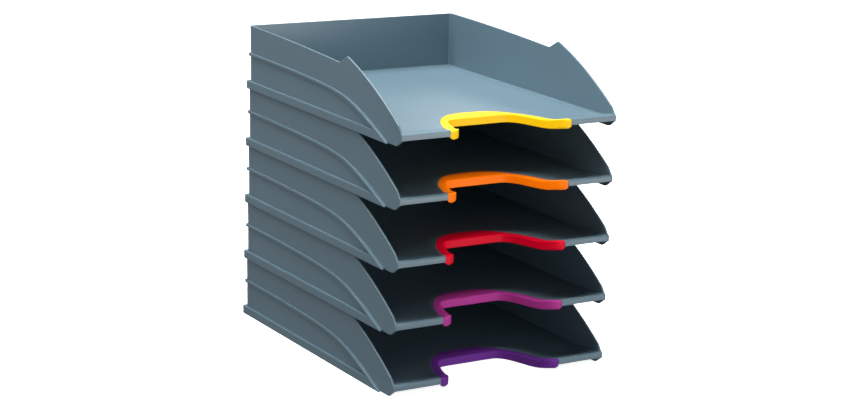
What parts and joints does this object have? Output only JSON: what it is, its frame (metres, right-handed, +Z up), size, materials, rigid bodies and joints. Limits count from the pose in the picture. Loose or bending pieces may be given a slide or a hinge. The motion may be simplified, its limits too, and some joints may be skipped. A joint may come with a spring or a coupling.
{
  "type": "stackable letter tray set",
  "caption": "Stack of identical open-fronted letter trays with arched side walls, base bands and a coloured grip around the thumb notch of each front lip.",
  "frame": {"origin": "centre of the stack's bounding box at desk level", "axes": "+Z up through the stack, +Y from the open fronts to the back walls, +X to the right seen from the front"},
  "size_m": [0.27, 0.334, 0.3353],
  "materials": {
    "tray_plastic": "satin moulded polystyrene, blue-grey",
    "grip_1_plastic": "satin, slightly soft moulding",
    "grip_2_plastic": "satin, slightly soft moulding",
    "grip_3_plastic": "satin, slightly soft moulding",
    "grip_4_plastic": "satin, slightly soft moulding",
    "grip_5_plastic": "satin, slightly soft moulding"
  },
  "bodies": {
    "level_1": {"tray_1": "tray_plastic", "grip_1": "grip_1_plastic"},
    "level_2": {"tray_2": "tray_plastic", "grip_2": "grip_2_plastic"},
    "level_3": {"tray_3": "tray_plastic", "grip_3": "grip_3_plastic"},
    "level_4": {"tray_4": "tray_plastic", "grip_4": "grip_4_plastic"},
    "level_5": {"tray_5": "tray_plastic", "grip_5": "grip_5_plastic"}
  },
  "joints": [
    {"name": "lift_2", "type": "slide", "parent": "level_1", "child": "level_2", "axis": [0, 0, 1], "range_m": [0, 0.06]},
    {"name": "lift_3", "type": "slide", "parent": "level_2", "child": "level_3", "axis": [0, 0, 1], "range_m": [0, 0.06]},
    {"name": "lift_4", "type": "slide", "parent": "level_3", "child": "level_4", "axis": [0, 0, 1], "range_m": [0, 0.06]},
    {"name": "lift_5", "type": "slide", "parent": "level_4", "child": "level_5", "axis": [0, 0, 1], "range_m": [0, 0.06]}
  ]
}
